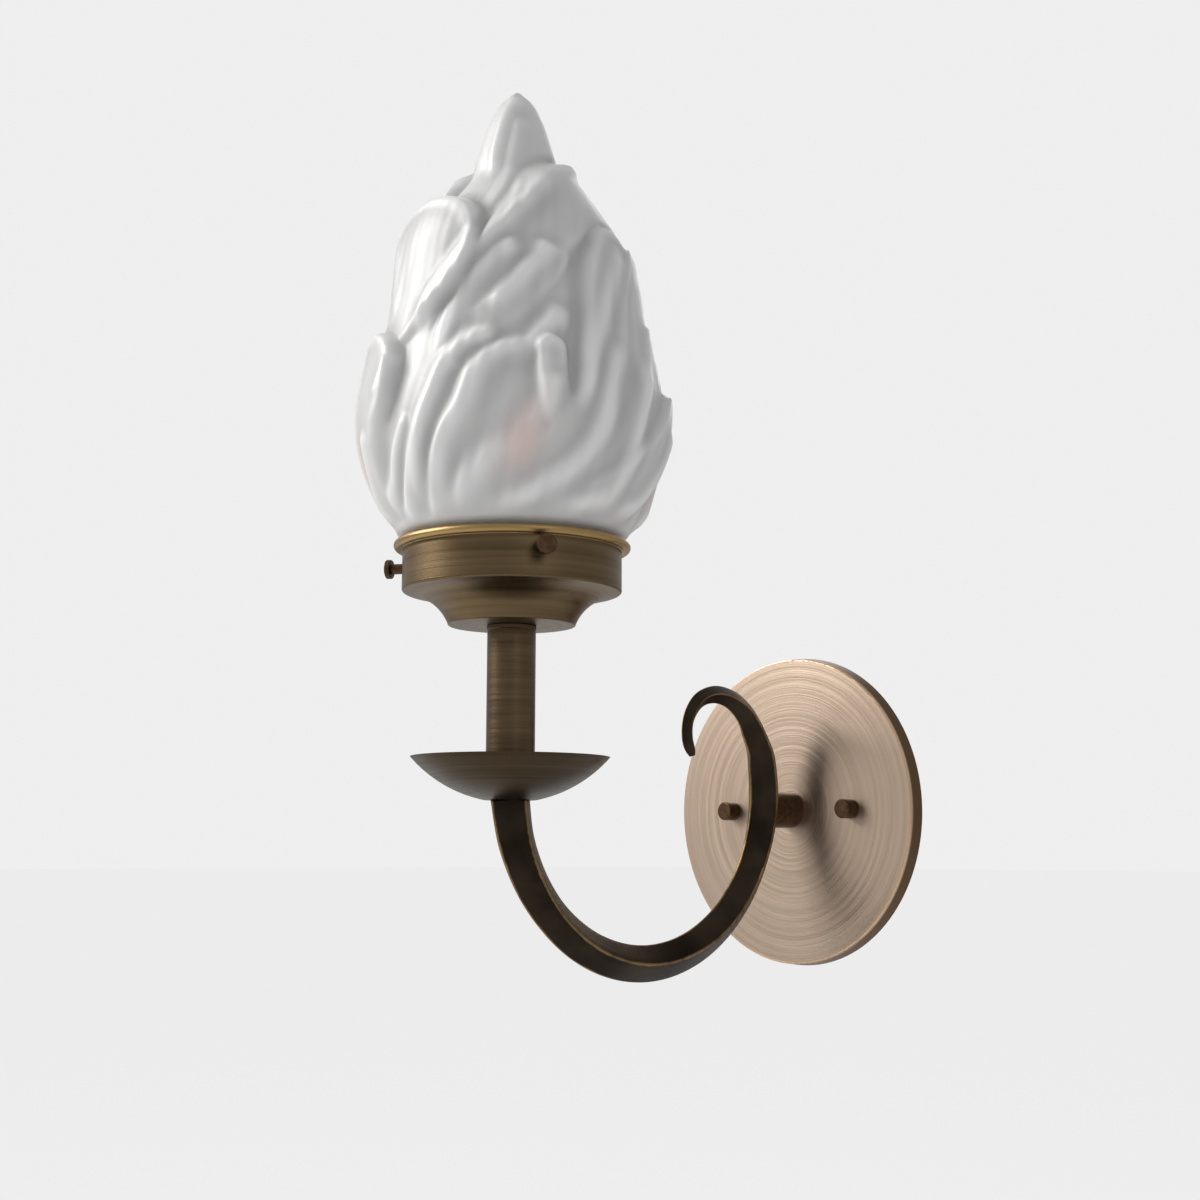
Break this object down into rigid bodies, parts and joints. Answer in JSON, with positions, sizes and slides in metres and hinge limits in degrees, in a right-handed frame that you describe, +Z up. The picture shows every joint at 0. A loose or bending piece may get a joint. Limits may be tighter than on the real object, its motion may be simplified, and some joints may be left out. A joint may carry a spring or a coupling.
{
  "type": "torch wall sconce",
  "caption": "Round wall plate with a curled scroll arm carrying a drip dish, an upright stem and a brass holder with a flame-shaped frosted glass shade over a lamp.",
  "frame": {"origin": "centre of the wall plate's back, on the wall plane", "axes": "+Z up; the wall is the plane y = 0 and the room lies towards -Y; +X to the right as seen by a viewer who faces the wall"},
  "size_m": [0.1368, 0.2297, 0.3601],
  "materials": {
    "plate_brass": "pale brushed bronze with fine turning lines, lacquered",
    "zinc_steel": "zinc plated, satin",
    "ground_green": "green dyed screw",
    "bronze": "dark bronze patina, worn to gold at the edges",
    "dish_brass": "dark antique brass with fine turning lines",
    "stem_brass": "antique brass, satin",
    "gallery_brass": "antique brass with fine turning lines, brighter on the bead",
    "porcelain": "white glazed porcelain",
    "raw_brass": "bare brass",
    "lamp_metal": "nickel coloured, satin",
    "black_glass": "black glass",
    "clear_glass": "clear glass",
    "phosphor": "yellow coated sticks",
    "frosted_glass": "white satin frosted glass with bright rims"
  },
  "bodies": {
    "fixture": {"wall_plate": "plate_brass", "mounting_ring": "zinc_steel", "plate_studs": "zinc_steel", "ground_screw": "ground_green", "arm_post": "bronze", "post_nipple": "zinc_steel", "post_washer": "zinc_steel", "post_nut": "zinc_steel", "scroll_arm": "bronze", "drip_dish": "dish_brass", "stem_tube": "stem_brass", "stem_rod": "zinc_steel", "stem_collar": "stem_brass", "gallery": "gallery_brass", "gallery_washer": "zinc_steel", "gallery_nut": "zinc_steel", "socket_hickey": "zinc_steel", "socket_body": "porcelain", "socket_screws": "zinc_steel", "socket_shell": "raw_brass", "socket_contact": "raw_brass"},
    "shade": {"flame_shade": "frosted_glass"},
    "lamp": {"lamp_cap": "lamp_metal", "lamp_insulator": "black_glass", "lamp_contact": "lamp_metal", "lamp_glass": "clear_glass", "lamp_stem": "clear_glass", "lamp_filaments": "phosphor", "lamp_wires": "lamp_metal"},
    "knob_left": {"knob_left": "bronze"},
    "knob_right": {"knob_right": "bronze"},
    "thumb_screw_front": {"thumb_screw_front": "bronze"},
    "thumb_screw_left": {"thumb_screw_left": "bronze"},
    "thumb_screw_back": {"thumb_screw_back": "bronze"}
  },
  "joints": [
    {"name": "shade_lift", "type": "slide", "parent": "fixture", "child": "shade", "axis": [0, 0, 1], "range_m": [0, 0.12]},
    {"name": "lamp_unscrew", "type": "slide", "parent": "fixture", "child": "lamp", "axis": [0, 0, 1], "range_m": [0, 0.028]},
    {"name": "knob_left_unscrew", "type": "slide", "parent": "fixture", "child": "knob_left", "axis": [0, -1, 0], "range_m": [0, 0.01]},
    {"name": "knob_right_unscrew", "type": "slide", "parent": "fixture", "child": "knob_right", "axis": [0, -1, 0], "range_m": [0, 0.01]},
    {"name": "thumb_screw_front_turn", "type": "slide", "parent": "fixture", "child": "thumb_screw_front", "axis": [0.9063, -0.4226, 0], "range_m": [-0.0032, 0.0016]},
    {"name": "thumb_screw_left_turn", "type": "slide", "parent": "fixture", "child": "thumb_screw_left", "axis": [-0.8192, -0.5736, 0], "range_m": [-0.0032, 0.0016]},
    {"name": "thumb_screw_back_turn", "type": "slide", "parent": "fixture", "child": "thumb_screw_back", "axis": [-0.0872, 0.9962, 0], "range_m": [-0.0032, 0.0016]}
  ]
}
